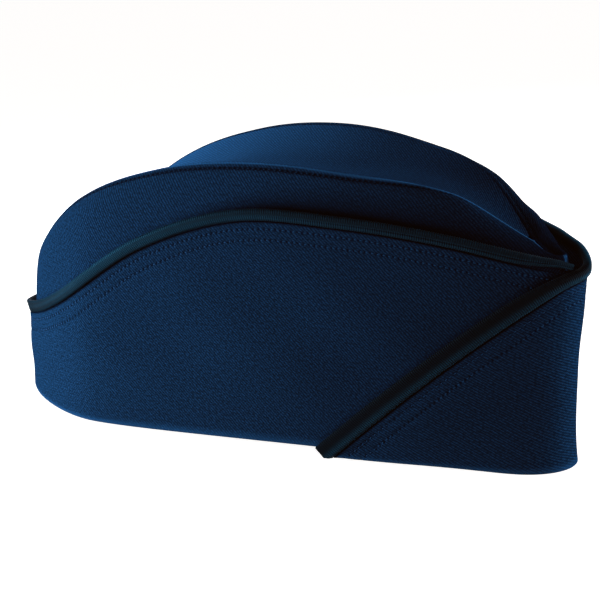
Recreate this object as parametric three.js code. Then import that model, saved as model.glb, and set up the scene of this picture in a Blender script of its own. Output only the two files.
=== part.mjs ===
// Side cap: a folding cloth cap that stands open on its lower edge.
// Millimetres, +X to the front of the cap, +Y to the wearer's left, +Z up.
import * as THREE from "three";

// Cloth and trim
const CROWN_THICK = 1.4;
const CURTAIN_THICK = 1.8;
const BRAID_THICK = 3.2;
const BRAID_TALL = 4.4;
const BRAID_PROUD = 1;
const BRAID_SQUARENESS = 0.6;
const SEAM_GAP = 0.3;

// Half plans of the cap. The outline runs from the centre back round to the nose, widest at wideX.
// Each end reaches that far from wideX, with half width * (1 - share ** power) ** round,
// and the turn at wideX is eased over the given length.
const FOOT_PLAN = {
  wideX: -63,
  halfWidth: 51.5,
  ease: 9,
  back: { reach: 60, power: 1.25, round: 0.5 },
  front: { reach: 183.8, power: 1.2, round: 0.5 },
};
const RIDGE_PLAN = {
  wideX: -47,
  halfWidth: 42,
  ease: 0,
  back: { reach: 67, power: 2.8, round: 0.5 },
  front: { reach: 153, power: 2.9, round: 1 },
};

// The curtain leans out by these amounts at this height, slowly at first
const LEAN = { back: 1.5, front: 4.4, side: 6.3, height: 100, power: 1.25 };

// Sections at even steps from the centre back to the nose: heights of the curtain's edge and of the crest,
// where the two crown sides end, and the crown's swell at its shoulder. The knee and the shoulder are
// given as shares of the crest's height.
const STATIONS = [
  { place: "centre back", curtainEdge: 32, crest: 58, knee: 0.6, shoulder: 0.87, swell: 2 },
  { place: "back quarter", curtainEdge: 54, crest: 92.5, knee: 0.6, shoulder: 0.88, swell: 5.5 },
  { place: "behind the middle", curtainEdge: 83, crest: 109, knee: 0.6, shoulder: 0.85, swell: 6 },
  { place: "middle", curtainEdge: 99, crest: 115.5, knee: 0.6, shoulder: 0.87, swell: 6 },
  { place: "before the middle", curtainEdge: 99.5, crest: 114.5, knee: 0.6, shoulder: 0.92, swell: 6 },
  { place: "front quarter", curtainEdge: 94.5, crest: 108, knee: 0.68, shoulder: 1.03, swell: 8 },
  { place: "nose", curtainEdge: 84, crest: 85, knee: 0.75, shoulder: 1.14, swell: 3.5 },
];

// Crown: its foot stands inside the curtain, and its knee a little further in.
// The crest follows the ridge seams and runs on along the middle to this place above the nose.
const CROWN_INSET = CURTAIN_THICK + SEAM_GAP;
const CROWN_FOOT_RISE = 0.4;
const KNEE_INSET = CROWN_INSET + 1.5;
const CREST_FRONT_X = 117;

// Crown top: sunk below the ridge seams, with a valley along its middle
const TOP_INSET = { side: 1.7, back: 1.9, front: 3.6 };
const TOP_DROP = 1;
const TOP_END_SHARE = 0.004;
const VALLEY_SHARE = 0.17;

// Overlap at the front: the flap lies over the right curtain and ends in a slanting edge
const FLAP_LENGTH = 100;
const FLAP_CURVE = 1.2;
const FLAP_OUTSET = 3.6;
const FLAP_RAMP = 0.07;
const FLAP_RISE = { from: 15, to: 60, amount: 1.6 };
const FLAP_TIP_HEIGHT = 0.4;
const FLAP_TIP_TRIM = 1.2;
const FOOT_FLARE = { amount: 4.2, centre: 12, spread: 20, height: 30 };
const RIGHT_RISE = { from: 0.1, amount: 3.1 };
const RIGHT_END = 0.984;
const RIGHT_BRAID_END = 0.978;

// The curtain's edge rises and flares out at the centre back, dips at the nose,
// and swells up beside it on the left
const BACK_BEAK = { rise: 2.4, out: 1, spread: 15, depth: 16 };
const NOSE_DIP = { amount: 2.5, spread: 7 };
const NOSE_SWELL = { amount: 2.5, start: 0, full: 12, ease: 18, end: 36 };

// Looks of the cloth and the braid
const CLOTH_LOOK = { color: 0x12233f, roughness: 0.9, metalness: 0 };
const BRAID_LOOK = { color: 0x0f1a20, roughness: 0.7, metalness: 0 };

// Grids of the walls, steps of the braids, and the step for slopes along the loop
const CROWN_GRID = { columns: 42, rows: 9 };
const TOP_GRID = { columns: 34, rows: 11 };
const CURTAIN_RIGHT_GRID = { columns: 44, rows: 7 };
const CURTAIN_LEFT_GRID = { columns: 70, rows: 7 };
const BRAID_SIDES = 10;
const BRAID_RIGHT_STEPS = 48;
const BRAID_LEFT_STEPS = 80;
const LOOP_STEP = 1e-3;

// Half outline from the centre back (t = 0) to the nose (t = 1), on the wearer's left
class HalfPlan extends THREE.Curve {
  constructor(sizes) {
    super();
    Object.assign(this, sizes);
    this.arcLengthDivisions = 600;
  }

  get backX() {
    return this.wideX - this.back.reach;
  }

  get frontX() {
    return this.wideX + this.front.reach;
  }

  // Distance from wideX with the turn there eased, and the way back
  eased(distance) {
    return Math.hypot(distance, this.ease) - this.ease;
  }

  uneased(length) {
    return Math.sqrt((length + this.ease) ** 2 - this.ease ** 2);
  }

  getPoint(t, target = new THREE.Vector2()) {
    const forward = -Math.cos(Math.PI * t);
    const across = Math.sin(Math.PI * t);
    const end = forward < 0 ? this.back : this.front;
    const length = this.eased(end.reach) * Math.abs(forward) ** (2 / end.power);
    const x = this.wideX + Math.sign(forward) * this.uneased(length);
    return target.set(x, this.halfWidth * across ** (2 * end.round));
  }

  halfWidthAt(x) {
    const end = x < this.wideX ? this.back : this.front;
    const share = this.eased(x - this.wideX) / this.eased(end.reach);
    return this.halfWidth * (1 - Math.min(1, share) ** end.power) ** end.round;
  }
}

const foot = new HalfPlan(FOOT_PLAN);
const ridge = new HalfPlan(RIDGE_PLAN);
const HALF_LOOP = foot.getLength();

// The loop runs counter-clockwise from above: 0 centre back, right side, 1 nose, left side, 2 centre back
function sideOf(loop) {
  return loop < 1 ? -1 : 1;
}

function halfOf(loop) {
  return loop < 1 ? loop : 2 - loop;
}

function leaningPoint(loop, height) {
  const half = THREE.MathUtils.clamp(halfOf(loop), 0, 1);
  const t = foot.getUtoTmapping(half);
  const point = foot.getPoint(t);
  const lean = (Math.max(height, 0) / LEAN.height) ** LEAN.power;
  const end = point.x < foot.wideX ? foot.back : foot.front;
  const endLean = point.x < foot.wideX ? LEAN.back : LEAN.front;
  const x = point.x + (lean * endLean * (point.x - foot.wideX)) / end.reach;
  const y = point.y * (1 + (lean * LEAN.side) / foot.halfWidth);
  return new THREE.Vector3(x, sideOf(loop) * y, height);
}

// Level direction pointing out of the cap, square to the plan outline
function outward(loop) {
  const before = leaningPoint(Math.max(loop - LOOP_STEP, 0), 0);
  const after = leaningPoint(Math.min(loop + LOOP_STEP, 2), 0);
  const along = after.sub(before);
  return new THREE.Vector3(along.y, -along.x, 0).normalize();
}

function planPoint(loop, height, outset) {
  return leaningPoint(loop, height).addScaledVector(outward(loop), outset);
}

// Value of a station column at a share of the way from back to front, which may come in level at the front
function stationValue(column, along, levelFront = false) {
  const last = STATIONS.length - 1;
  const place = THREE.MathUtils.clamp(along, 0, 1) * last;
  const index = Math.min(Math.floor(place), last - 1);
  const w = place - index;
  const [b, c] = [STATIONS[index][column], STATIONS[index + 1][column]];
  const a = index > 0 ? STATIONS[index - 1][column] : 2 * b - c;
  const beyond = levelFront ? b : 2 * c - b;
  const d = index + 2 <= last ? STATIONS[index + 2][column] : beyond;
  const bend = 2 * a - 5 * b + 4 * c - d + w * (3 * (b - c) + d - a);
  return b + 0.5 * w * (c - a + w * bend);
}

function shareAlong(x) {
  return THREE.MathUtils.inverseLerp(foot.backX, foot.frontX, x);
}

// Columns crowd towards both ends of a stretch, where the plan turns sharply
function crowded(share) {
  const crowding = 0.6;
  return share - (crowding * Math.sin(2 * Math.PI * share)) / (2 * Math.PI);
}

// Arc length from the nose down the right side
function flapArc(loop) {
  return Math.max(0, 1 - loop) * HALF_LOOP;
}

function flapOutset(loop) {
  return FLAP_OUTSET * THREE.MathUtils.smoothstep(1 + FLAP_RAMP - loop, 0, FLAP_RAMP);
}

function footFlare(loop, height) {
  const away = ((1 - loop) * HALF_LOOP - FOOT_FLARE.centre) / FOOT_FLARE.spread;
  const low = Math.max(0, 1 - height / FOOT_FLARE.height);
  return FOOT_FLARE.amount * Math.exp(-away * away) * low * low;
}

// A rounded hump over the loop, 1 at its middle
function hump(loop, middle, spread) {
  const away = ((loop - middle) * HALF_LOOP) / spread;
  return Math.exp(-away * away);
}

function backBeak(loop) {
  return hump(halfOf(loop), 0, BACK_BEAK.spread);
}

function noseDip(loop) {
  return NOSE_DIP.amount * hump(loop, 1, NOSE_DIP.spread);
}

function noseSwell(loop) {
  const { smoothstep } = THREE.MathUtils;
  const arc = (loop - 1) * HALF_LOOP;
  const fall = smoothstep(arc, NOSE_SWELL.ease, NOSE_SWELL.end);
  return NOSE_SWELL.amount * smoothstep(arc, NOSE_SWELL.start, NOSE_SWELL.full) * (1 - fall);
}

function backFlare(curtain, loop, height) {
  const edge = curtain.edge(loop);
  return BACK_BEAK.out * backBeak(loop) * THREE.MathUtils.smoothstep(height, edge - BACK_BEAK.depth, edge);
}

// Each curtain: edge height, foot height and outer face at a place on the loop
const rightCurtain = {
  edge(loop) {
    const plain = stationValue("curtainEdge", shareAlong(leaningPoint(loop, 0).x));
    return plain + BACK_BEAK.rise * backBeak(loop) - noseDip(loop);
  },
  foot(loop) {
    const full = 1 - FLAP_LENGTH / HALF_LOOP;
    return RIGHT_RISE.amount * THREE.MathUtils.smoothstep(loop, RIGHT_RISE.from, full);
  },
  face(loop, height) {
    return planPoint(loop, height, backFlare(rightCurtain, loop, height));
  },
};

const leftCurtain = {
  edge(loop) {
    if (loop >= 1) {
      return rightCurtain.edge(loop) + noseSwell(loop);
    }
    const nose = STATIONS[STATIONS.length - 1].curtainEdge;
    return nose * (1 - (flapArc(loop) / FLAP_LENGTH) ** FLAP_CURVE) - noseDip(loop);
  },
  foot(loop) {
    return FLAP_RISE.amount * THREE.MathUtils.smoothstep(flapArc(loop), FLAP_RISE.from, FLAP_RISE.to);
  },
  face(loop, height) {
    const flare = footFlare(loop, height) + backFlare(leftCurtain, loop, height);
    return planPoint(loop, height, flapOutset(loop) + flare);
  },
};

// Top of the cloth under the braid, which is measured square to the slope of the edge
function clothTop(curtain, loop) {
  const rise = curtain.edge(loop + LOOP_STEP) - curtain.edge(loop - LOOP_STEP);
  const slope = rise / (2 * LOOP_STEP * HALF_LOOP);
  return curtain.edge(loop) - (BRAID_TALL + SEAM_GAP) * Math.hypot(1, slope);
}

// Holds a point off the middle plane, on its own side of a centre seam
function clearOfSeam(point, side) {
  if (side !== 0 && point.y * side < SEAM_GAP / 2) {
    point.y = (side * SEAM_GAP) / 2;
  }
  return point;
}

function meshGeometry(points, triangles) {
  const geometry = new THREE.BufferGeometry();
  const positions = points.flatMap((point) => [point.x, point.y, point.z]);
  geometry.setAttribute("position", new THREE.Float32BufferAttribute(positions, 3));
  geometry.setIndex(triangles);
  geometry.computeVertexNormals();
  return geometry;
}

// A cloth wall from a grid on its outer face, thickened inwards and closed round its four edges.
// Its foot, the first row, is cut level where the wall stands up.
function wallGeometry(grid, thickness, facePoint, { seamSide = () => 0, levelFoot = true } = {}) {
  const { columns, rows } = grid;
  const outer = [];
  for (let i = 0; i < columns; i += 1) {
    for (let j = 0; j < rows; j += 1) {
      outer.push(facePoint(i / (columns - 1), j / (rows - 1)));
    }
  }
  const at = (i, j) => i * rows + j;
  const inner = outer.map((point, index) => {
    const i = Math.floor(index / rows);
    const j = index % rows;
    const along = outer[at(Math.min(i + 1, columns - 1), j)].clone();
    along.sub(outer[at(Math.max(i - 1, 0), j)]);
    const up = outer[at(i, Math.min(j + 1, rows - 1))].clone();
    up.sub(outer[at(i, Math.max(j - 1, 0))]);
    const normal = along.cross(up).normalize();
    if (levelFoot && j === 0) {
      normal.setZ(0).normalize();
    }
    return point.clone().addScaledVector(normal, -thickness);
  });
  const points = [...outer, ...inner];
  points.forEach((point, index) => {
    const column = Math.floor((index % outer.length) / rows);
    clearOfSeam(point, seamSide(column / (columns - 1)));
  });
  const triangles = [];
  const quad = (a, b, c, d) => triangles.push(a, b, c, a, c, d);
  const back = outer.length;
  for (let i = 0; i + 1 < columns; i += 1) {
    for (let j = 0; j + 1 < rows; j += 1) {
      const corners = [at(i, j), at(i + 1, j), at(i + 1, j + 1), at(i, j + 1)];
      quad(...corners);
      quad(...corners.map((corner) => corner + back).reverse());
    }
    const [low, lowNext] = [at(i, 0), at(i + 1, 0)];
    const [high, highNext] = [at(i, rows - 1), at(i + 1, rows - 1)];
    quad(low + back, lowNext + back, lowNext, low);
    quad(high, highNext, highNext + back, high + back);
  }
  for (let j = 0; j + 1 < rows; j += 1) {
    const [first, firstNext] = [at(0, j), at(0, j + 1)];
    const [end, endNext] = [at(columns - 1, j), at(columns - 1, j + 1)];
    quad(first, firstNext, firstNext + back, first + back);
    quad(end + back, endNext + back, endNext, end);
  }
  return meshGeometry(points, triangles);
}

function crestX(along) {
  return THREE.MathUtils.lerp(ridge.backX, CREST_FRONT_X, along);
}

function crestHeight(x) {
  return stationValue("crest", THREE.MathUtils.inverseLerp(ridge.backX, CREST_FRONT_X, x), true);
}

// A crown side panel, lofted from its foot over the knee and the shoulder to the crest
function crownSide(start, rise) {
  const side = sideOf(start);
  const footBack = foot.backX + CROWN_INSET;
  const footFront = foot.frontX - CROWN_INSET;
  const facePoint = (across, up) => {
    const loop = start + crowded(across);
    const low = planPoint(loop, 0, -CROWN_INSET);
    const along = THREE.MathUtils.inverseLerp(footBack, footFront, low.x);
    const x = crestX(THREE.MathUtils.clamp(along, 0, 1));
    const high = new THREE.Vector3(x, side * ridge.halfWidthAt(x), crestHeight(x));
    const knee = planPoint(loop, stationValue("knee", along) * high.z, -KNEE_INSET);
    const shoulder = planPoint(loop, 0, stationValue("swell", along) - CROWN_INSET);
    shoulder.z = stationValue("shoulder", along) * high.z;
    low.z = CROWN_FOOT_RISE + rise(loop);
    return new THREE.CubicBezierCurve3(low, knee, shoulder, high).getPoint(up);
  };
  return wallGeometry(CROWN_GRID, CROWN_THICK, facePoint, { seamSide: () => side });
}

// The crown top, a smaller leaf inside the ridge seams
function crownTop() {
  const leaf = new HalfPlan({
    ...RIDGE_PLAN,
    halfWidth: RIDGE_PLAN.halfWidth - TOP_INSET.side,
    back: { ...RIDGE_PLAN.back, reach: RIDGE_PLAN.back.reach - TOP_INSET.back },
    front: { ...RIDGE_PLAN.front, reach: RIDGE_PLAN.front.reach - TOP_INSET.front },
  });
  const facePoint = (share, across) => {
    const along = THREE.MathUtils.lerp(TOP_END_SHARE, 1 - TOP_END_SHARE, crowded(share));
    const x = THREE.MathUtils.lerp(leaf.backX, leaf.frontX, along);
    const reach = 2 * across - 1;
    const half = leaf.halfWidthAt(x);
    const valley = VALLEY_SHARE * half * (1 - reach * reach);
    return new THREE.Vector3(x, half * reach, crestHeight(x) - TOP_DROP - valley);
  };
  return wallGeometry(TOP_GRID, CROWN_THICK, facePoint, { levelFoot: false });
}

// A curtain half between two places on the loop
function curtainWall(curtain, start, end, grid, seamSide) {
  const facePoint = (share, up) => {
    const loop = THREE.MathUtils.lerp(start, end, share);
    const height = THREE.MathUtils.lerp(curtain.foot(loop), clothTop(curtain, loop), up);
    return curtain.face(loop, height);
  };
  return wallGeometry(grid, CURTAIN_THICK, facePoint, { seamSide });
}

// Edge braid: a rounded strip carried along the top of a curtain
function braidStrip(curtain, start, end, steps, seamSide) {
  const edgePoint = (loop) => curtain.face(loop, curtain.edge(loop));
  const squared = (value) => Math.sign(value) * Math.abs(value) ** BRAID_SQUARENESS;
  const points = [];
  for (let i = 0; i <= steps; i += 1) {
    const loop = THREE.MathUtils.lerp(start, end, i / steps);
    const top = edgePoint(loop);
    const along = edgePoint(Math.min(loop + LOOP_STEP, 2));
    along.sub(edgePoint(Math.max(loop - LOOP_STEP, 0)));
    const out = outward(loop);
    const up = out.clone().cross(along).normalize();
    for (let k = 0; k < BRAID_SIDES; k += 1) {
      const angle = (2 * Math.PI * k) / BRAID_SIDES;
      const point = top.clone();
      point.addScaledVector(out, BRAID_PROUD + (BRAID_THICK / 2) * (squared(Math.cos(angle)) - 1));
      point.addScaledVector(up, (BRAID_TALL / 2) * (squared(Math.sin(angle)) - 1));
      point.z = Math.max(point.z, curtain.foot(loop));
      points.push(clearOfSeam(point, seamSide(i / steps)));
    }
  }
  const triangles = [];
  for (let i = 0; i < steps; i += 1) {
    for (let k = 0; k < BRAID_SIDES; k += 1) {
      const next = (k + 1) % BRAID_SIDES;
      const [a, b] = [i * BRAID_SIDES + k, i * BRAID_SIDES + next];
      const [c, d] = [a + BRAID_SIDES, b + BRAID_SIDES];
      triangles.push(a, c, b, b, c, d);
    }
  }
  const lastRing = steps * BRAID_SIDES;
  for (let k = 1; k + 1 < BRAID_SIDES; k += 1) {
    triangles.push(0, k, k + 1);
    triangles.push(lastRing, lastRing + k + 1, lastRing + k);
  }
  return meshGeometry(points, triangles);
}

// The flap's cloth starts where it is just tall enough to show below the braid
function flapStart() {
  let loop = 1 - FLAP_LENGTH / HALF_LOOP;
  while (clothTop(leftCurtain, loop) < leftCurtain.foot(loop) + FLAP_TIP_HEIGHT) {
    loop += LOOP_STEP;
  }
  return loop;
}

const cap = new THREE.Group();

function addPiece(name, geometry, look) {
  const mesh = new THREE.Mesh(geometry, new THREE.MeshStandardMaterial(look));
  mesh.name = name;
  cap.add(mesh);
}

const flapTip = 1 - (FLAP_LENGTH - FLAP_TIP_TRIM) / HALF_LOOP;

// Only the back half of each curtain and braid meets the centre back seam
const backSeamRight = (share) => (share < 0.5 ? -1 : 0);
const backSeamLeft = (share) => (share > 0.5 ? 1 : 0);

const rightWall = curtainWall(rightCurtain, 0, RIGHT_END, CURTAIN_RIGHT_GRID, backSeamRight);
const leftWall = curtainWall(leftCurtain, flapStart(), 2, CURTAIN_LEFT_GRID, backSeamLeft);
const rightBraid = braidStrip(rightCurtain, 0, RIGHT_BRAID_END, BRAID_RIGHT_STEPS, backSeamRight);
const leftBraid = braidStrip(leftCurtain, flapTip, 2, BRAID_LEFT_STEPS, backSeamLeft);

addPiece("crown_side_right", crownSide(0, rightCurtain.foot), CLOTH_LOOK);
addPiece("crown_side_left", crownSide(1, () => 0), CLOTH_LOOK);
addPiece("crown_top", crownTop(), CLOTH_LOOK);
addPiece("curtain_right", rightWall, CLOTH_LOOK);
addPiece("curtain_left", leftWall, CLOTH_LOOK);
addPiece("braid_right", rightBraid, BRAID_LOOK);
addPiece("braid_left", leftBraid, BRAID_LOOK);

// Stand the cap on its lower edge with its box centred on the origin
const box = new THREE.Box3().setFromObject(cap);
const centre = box.getCenter(new THREE.Vector3());
cap.position.set(-centre.x, -centre.y, -box.min.z);

export default cap;
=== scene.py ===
"""A folding side cap of navy twill with braided edges, standing open on its lower edge."""

import math
from collections import namedtuple

import bmesh
import bpy
import numpy as np
from bpy.props import FloatProperty, FloatVectorProperty, PointerProperty
from bpy.types import Operator, Panel, PropertyGroup
from mathutils import Matrix, Vector


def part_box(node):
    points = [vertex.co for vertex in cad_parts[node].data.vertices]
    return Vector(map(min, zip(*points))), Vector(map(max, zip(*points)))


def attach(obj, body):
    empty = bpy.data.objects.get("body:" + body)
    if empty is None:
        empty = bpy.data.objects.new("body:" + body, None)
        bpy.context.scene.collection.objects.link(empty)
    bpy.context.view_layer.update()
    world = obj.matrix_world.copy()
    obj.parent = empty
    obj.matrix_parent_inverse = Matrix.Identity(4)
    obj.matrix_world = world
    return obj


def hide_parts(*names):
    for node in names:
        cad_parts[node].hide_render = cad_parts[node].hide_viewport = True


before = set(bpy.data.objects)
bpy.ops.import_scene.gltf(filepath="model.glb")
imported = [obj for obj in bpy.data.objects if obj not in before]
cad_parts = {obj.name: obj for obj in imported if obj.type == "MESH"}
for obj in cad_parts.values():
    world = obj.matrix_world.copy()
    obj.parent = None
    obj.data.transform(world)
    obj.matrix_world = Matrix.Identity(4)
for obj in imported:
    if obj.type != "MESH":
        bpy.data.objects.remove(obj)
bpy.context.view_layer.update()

bl_info = {
    "name": "Side Cap",
    "version": (1, 0, 0),
    "blender": (4, 5, 0),
    "location": "3D View > Sidebar > Side Cap",
    "description": "Builds a folding twill side cap with braided edges, and a stage for it",
    "category": "Mesh",
}

# Form of the cap, in metres: +X to its front, +Y to the wearer's left, +Z up.
# Half plans run from the centre back round to the nose and are widest at wide_x. Each end reaches that far
# from wide_x, with half_width * (1 - share ** power) ** round.
End = namedtuple("End", "reach power round")
FOOT_ENDS = {"back": End(0.060, 1.25, 0.5), "front": End(0.1838, 1.2, 0.5)}
RIDGE_ENDS = {"back": End(0.067, 2.8, 0.5), "front": End(0.153, 2.9, 1.0)}
FOOT_SIZES = {"wide_x": -0.063, "half_width": 0.0515, "ease": 0.009, **FOOT_ENDS}
RIDGE_SIZES = {"wide_x": -0.047, "half_width": 0.042, "ease": 0.0, **RIDGE_ENDS}
ARC_STEPS = 2000

# The curtain leans out by these amounts at this height, slowly at first
LEAN = {"back": 0.0015, "front": 0.0044, "side": 0.0063, "height": 0.1, "power": 1.25}

# Sections at even steps from the centre back to the nose. The knee and the shoulder of the crown are shares
# of the crest's height.
Station = namedtuple("Station", "place curtain_edge crest knee shoulder swell")
STATIONS = [
    Station("centre back", 0.032, 0.058, 0.6, 0.87, 0.002),
    Station("back quarter", 0.054, 0.0925, 0.6, 0.88, 0.0055),
    Station("behind the middle", 0.083, 0.109, 0.6, 0.85, 0.006),
    Station("middle", 0.099, 0.1155, 0.6, 0.87, 0.006),
    Station("before the middle", 0.0995, 0.1145, 0.6, 0.92, 0.006),
    Station("front quarter", 0.0945, 0.108, 0.68, 1.03, 0.008),
    Station("nose", 0.084, 0.085, 0.75, 1.14, 0.0035),
]

# Crown: its foot stands inside the curtain, its knee a little further in
CROWN_INSET = 0.0021
CROWN_FOOT_RISE = 0.0004
FOOT_TUCK = 0.0005
KNEE_INSET = CROWN_INSET + 0.0015
BACK_KNEE = {"in": 0.003, "spread": 0.05}
LEFT_BULGE = {"out": 0.0027, "lift": 0.0071, "centre": 0.916, "spread": 0.042}
CREST_FRONT_X = 0.117
CREST_DROP = {"amount": 0.0028, "spread": 0.01}
TOP_INSET = {"side": 0.0017, "back": 0.0019, "front": 0.0036}
TOP_TUCK = 0.0009
TOP_TUCK_GROWS = (0.55, 0.85)
TOP_TUCK_ENDS = (0.97, 1)
TOP_PULL = 0.3
TOP_CALM = 0.02
TOP_END_SHARE = 0.004
VALLEY_SHARE = 0.17

# Overlap at the front: the flap lies over the right curtain and ends in a slanting edge
FLAP_LENGTH = 0.1
FLAP_CURVE = 1.2
FLAP_OUTSET = 0.0036
FLAP_RAMP = 0.07
FLAP_RISE = {"from": 0.015, "to": 0.06, "amount": 0.0008}
FLAP_TIP_TRIM = 0.0023
FLAP_CLOTH_LEAST = 0.0007
FOOT_FLARE = {"amount": 0.0042, "centre": 0.012, "spread": 0.02, "height": 0.03}
RIGHT_RISE = {"from": 0.1, "amount": 0.0031}
BEAK = {"rise": 0.0024, "out": 0.0003, "spread": 0.042, "power": 4, "depth": 0.016}
NOSE_DIP = {"amount": 0.0025, "spread": 0.007}
NOSE_SWELL = {"amount": 0.0015, "full": 0.012, "ease": 0.018, "end": 0.036}
RIGHT_END = 0.984
RIGHT_BRAID_END = 0.988
LOOP_STEP = 1e-3
HEIGHT_STEP = 0.0003

# The braid's height sets where the cloth under it ends
BRAID_TALL = 0.0044
CLOTH_GAP = 0.0005
TIP_TUCK = {"depth": 0.0015, "reach": 0.012}


class HalfPlan:
    """Half outline from the centre back (share 0) to the nose (share 1), measured along its length."""

    def __init__(self, wide_x, half_width, ease, back, front):
        self.wide_x, self.half_width, self.ease = wide_x, half_width, ease
        self.back, self.front = back, front
        self._turn = np.linspace(0, 1, ARC_STEPS)
        x, y = self._at_turn(self._turn)
        self._arc = np.concatenate([[0], np.cumsum(np.hypot(np.diff(x), np.diff(y)))])
        self.length = self._arc[-1]

    @property
    def back_x(self):
        return self.wide_x - self.back.reach

    @property
    def front_x(self):
        return self.wide_x + self.front.reach

    def end_sizes(self, behind):
        """Reach, power and round of the end that each point lies on."""
        return [np.where(behind, b, f) for b, f in zip(self.back, self.front)]

    def eased(self, distance):
        return np.hypot(distance, self.ease) - self.ease

    def _at_turn(self, turn):
        forward, across = -np.cos(np.pi * turn), np.sin(np.pi * turn)
        reach, power, roundness = self.end_sizes(forward < 0)
        length = self.eased(reach) * np.abs(forward) ** (2 / power)
        away = np.sqrt((length + self.ease) ** 2 - self.ease**2)
        return self.wide_x + np.sign(forward) * away, self.half_width * across ** (2 * roundness)

    def at(self, share):
        return self._at_turn(np.interp(share * self.length, self._arc, self._turn))

    def half_width_at(self, x):
        reach, power, roundness = self.end_sizes(x < self.wide_x)
        share = self.eased(x - self.wide_x) / self.eased(reach)
        return self.half_width * (1 - np.minimum(1, share) ** power) ** roundness


foot_plan = HalfPlan(**FOOT_SIZES)
ridge_plan = HalfPlan(**RIDGE_SIZES)
top_plan = HalfPlan(
    RIDGE_SIZES["wide_x"],
    RIDGE_SIZES["half_width"] - TOP_INSET["side"],
    RIDGE_SIZES["ease"],
    RIDGE_ENDS["back"]._replace(reach=RIDGE_ENDS["back"].reach - TOP_INSET["back"]),
    RIDGE_ENDS["front"]._replace(reach=RIDGE_ENDS["front"].reach - TOP_INSET["front"]),
)


def smoothstep(value, low, high):
    share = np.clip((value - low) / (high - low), 0, 1)
    return share * share * (3 - 2 * share)


def unit(vectors):
    return vectors / np.maximum(np.linalg.norm(vectors, axis=-1, keepdims=True), 1e-12)


def lerp(start, end, share):
    return start + (end - start) * share


def bell(distance, spread):
    """1 at no distance, falling off smoothly on both sides."""
    return np.exp(-((distance / spread) ** 2))


def station(column, along, level_front=False):
    """A column of STATIONS at shares of the way from back to front, on a smooth curve through the rows."""
    values = np.array([getattr(row, column) for row in STATIONS])
    last = len(values) - 1
    beyond = values[-2] if level_front else 2 * values[-1] - values[-2]
    padded = np.concatenate([[2 * values[0] - values[1]], values, [beyond]])
    place = np.clip(along, 0, 1) * last
    index = np.minimum(np.floor(place).astype(int), last - 1)
    w = place - index
    a, b, c, d = (padded[index + k] for k in range(4))
    return b + 0.5 * w * (c - a + w * (2 * a - 5 * b + 4 * c - d + w * (3 * (b - c) + d - a)))


# The loop runs counter-clockwise from above: 0 centre back, right side, 1 nose, left side, 2 centre back
def leaning_point(loop, height):
    """Points on the leaning wall of the curtain."""
    loop, height = np.broadcast_arrays(np.asarray(loop, float), np.asarray(height, float))
    plan_x, plan_y = foot_plan.at(np.clip(np.where(loop < 1, loop, 2 - loop), 0, 1))
    lean = (np.maximum(height, 0) / LEAN["height"]) ** LEAN["power"]
    behind = plan_x < foot_plan.wide_x
    reach = foot_plan.end_sizes(behind)[0]
    end_lean = np.where(behind, LEAN["back"], LEAN["front"])
    x = plan_x + lean * end_lean * (plan_x - foot_plan.wide_x) / reach
    y = plan_y * (1 + lean * LEAN["side"] / foot_plan.half_width)
    return np.stack([x, np.where(loop < 1, -1, 1) * y, height], axis=-1)


def outward(loop):
    """Level directions out of the cap, square to the plan outline."""
    loop = np.asarray(loop, float)
    after = leaning_point(np.minimum(loop + LOOP_STEP, 2), 0)
    along = after - leaning_point(np.maximum(loop - LOOP_STEP, 0), 0)
    return unit(np.stack([along[..., 1], -along[..., 0], np.zeros_like(loop)], axis=-1))


def plan_point(loop, height, outset):
    loop, outset = np.asarray(loop, float), np.asarray(outset, float)
    return leaning_point(loop, height) + outward(loop) * outset[..., None]


class RightCurtain:
    """The right half of the curtain: heights of its edge and foot, and its outer face."""

    def beak(self, loop):
        """Share of the beak: the edge rises and flares a little at the centre back."""
        arc = np.minimum(loop, 2 - np.asarray(loop, float)) * foot_plan.length
        return np.exp(-((arc / BEAK["spread"]) ** BEAK["power"]))

    def edge(self, loop):
        x = leaning_point(loop, 0)[..., 0]
        plain = station("curtain_edge", (x - foot_plan.back_x) / (foot_plan.front_x - foot_plan.back_x))
        return plain + BEAK["rise"] * self.beak(loop) - self.nose_dip(loop)

    def nose_dip(self, loop):
        arc = (np.asarray(loop, float) - 1) * foot_plan.length
        return NOSE_DIP["amount"] * bell(arc, NOSE_DIP["spread"])

    def foot(self, loop):
        full = 1 - FLAP_LENGTH / foot_plan.length
        return RIGHT_RISE["amount"] * smoothstep(loop, RIGHT_RISE["from"], full)

    def outset(self, loop, height):
        edge = self.edge(loop)
        return BEAK["out"] * self.beak(loop) * smoothstep(height, edge - BEAK["depth"], edge)

    def face(self, loop, height, out=0.0):
        return plan_point(loop, height, self.outset(loop, height) + out)

    def slope_length(self, loop):
        """Length along the edge for a unit of plan length."""
        rise = self.edge(loop + LOOP_STEP) - self.edge(loop - LOOP_STEP)
        return np.hypot(1, rise / (2 * LOOP_STEP * foot_plan.length))

    def below_braid(self, loop, distance):
        """Height of the face at a distance below the braid, measured square to the edge."""
        return self.edge(loop) - (BRAID_TALL + distance) * self.slope_length(loop)

    def cloth_gap(self, loop):
        """Distance below the braid at which the face turns in."""
        return CLOTH_GAP

    def cloth_top(self, loop):
        return self.below_braid(loop, self.cloth_gap(loop))


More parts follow.
